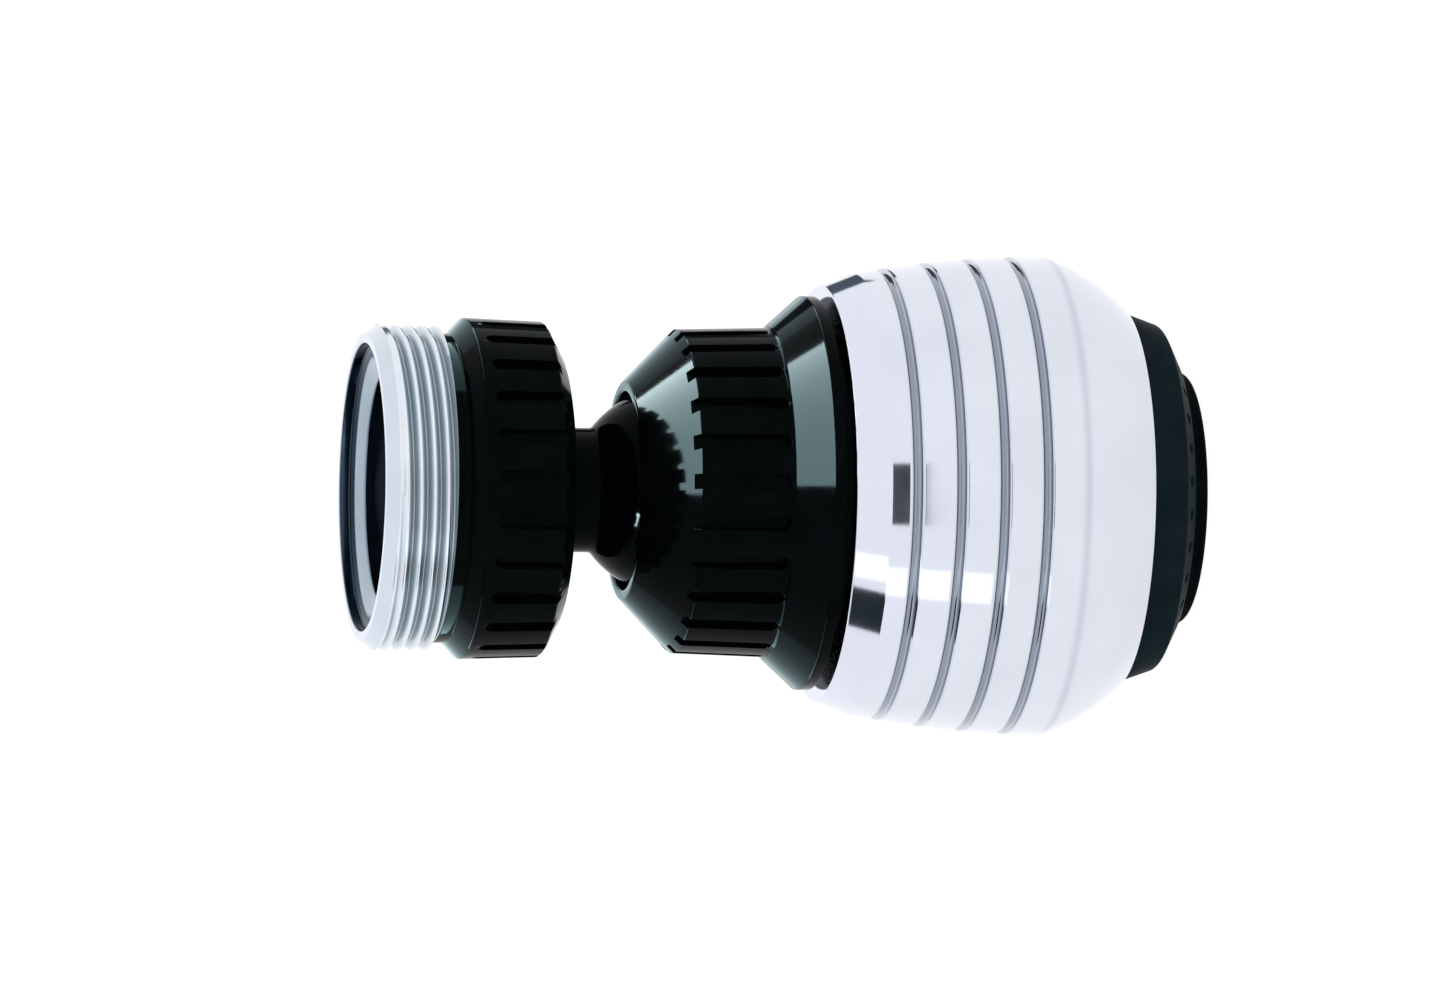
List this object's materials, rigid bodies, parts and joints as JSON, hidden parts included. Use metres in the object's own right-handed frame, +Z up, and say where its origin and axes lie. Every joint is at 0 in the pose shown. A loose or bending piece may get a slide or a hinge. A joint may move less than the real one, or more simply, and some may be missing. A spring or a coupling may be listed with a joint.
{
  "type": "swivel faucet aerator",
  "caption": "Swivel tap aerator: threaded connector, grip collar, ball joint and a sliding bell that changes the jet to a spray.",
  "frame": {"origin": "middle of the flat outlet end, on which it stands", "axes": "+Z up the common axis from the outlet to the threaded mouth; X and Y are alike, and the head tilts about Y"},
  "size_m": [0.0356, 0.0356, 0.0618],
  "materials": {
    "chromed_brass": "bright chrome plate on brass",
    "chromed_shell": "bright chrome plate",
    "gloss_black": "polished black moulding",
    "ball_black": "polished black",
    "nozzle_black": "satin blue-black",
    "matt_black": "matt black moulding",
    "seal_rubber": "matt rubber",
    "white_plastic": "natural plastic",
    "steel_mesh": "stainless wire"
  },
  "bodies": {
    "connector": {"threaded_ring": "chromed_brass", "filter_rim": "white_plastic", "filter_mesh": "steel_mesh", "grip_collar": "gloss_black"},
    "stem": {"stem_bush": "white_plastic", "bush_o_ring": "seal_rubber", "ball_stem": "ball_black"},
    "ball_race": {"ball_seat": "white_plastic", "ball_seal": "seal_rubber"},
    "head": {"ball_nut": "gloss_black", "head_core": "matt_black", "piston_o_ring": "seal_rubber", "face_seal": "seal_rubber", "diverter_spindle": "white_plastic", "diverter_washer": "seal_rubber"},
    "spray_head": {"head_shell": "chromed_shell", "spray_nozzle": "nozzle_black", "aerator_washer": "seal_rubber", "aerator_housing": "matt_black", "jet_plate": "white_plastic", "mixer_ring": "white_plastic", "upper_screen": "steel_mesh", "screen_spacer": "white_plastic", "lower_screen": "steel_mesh", "outlet_grille": "matt_black"}
  },
  "joints": [
    {"name": "connector_swivel", "type": "hinge", "parent": "connector", "child": "stem", "pos_m": [0, 0, 0.0385], "axis": [0, 0, 1], "continuous": true},
    {"name": "head_tilt", "type": "hinge", "parent": "stem", "child": "ball_race", "pos_m": [0, 0, 0.0385], "axis": [0, 1, 0], "range_deg": [-25, 25]},
    {"name": "head_spin", "type": "hinge", "parent": "ball_race", "child": "head", "pos_m": [0, 0, 0.0385], "axis": [0, 0, 1], "continuous": true},
    {"name": "bell_slide", "type": "slide", "parent": "head", "child": "spray_head", "axis": [0, 0, -1], "range_m": [0, 0.0035]}
  ]
}
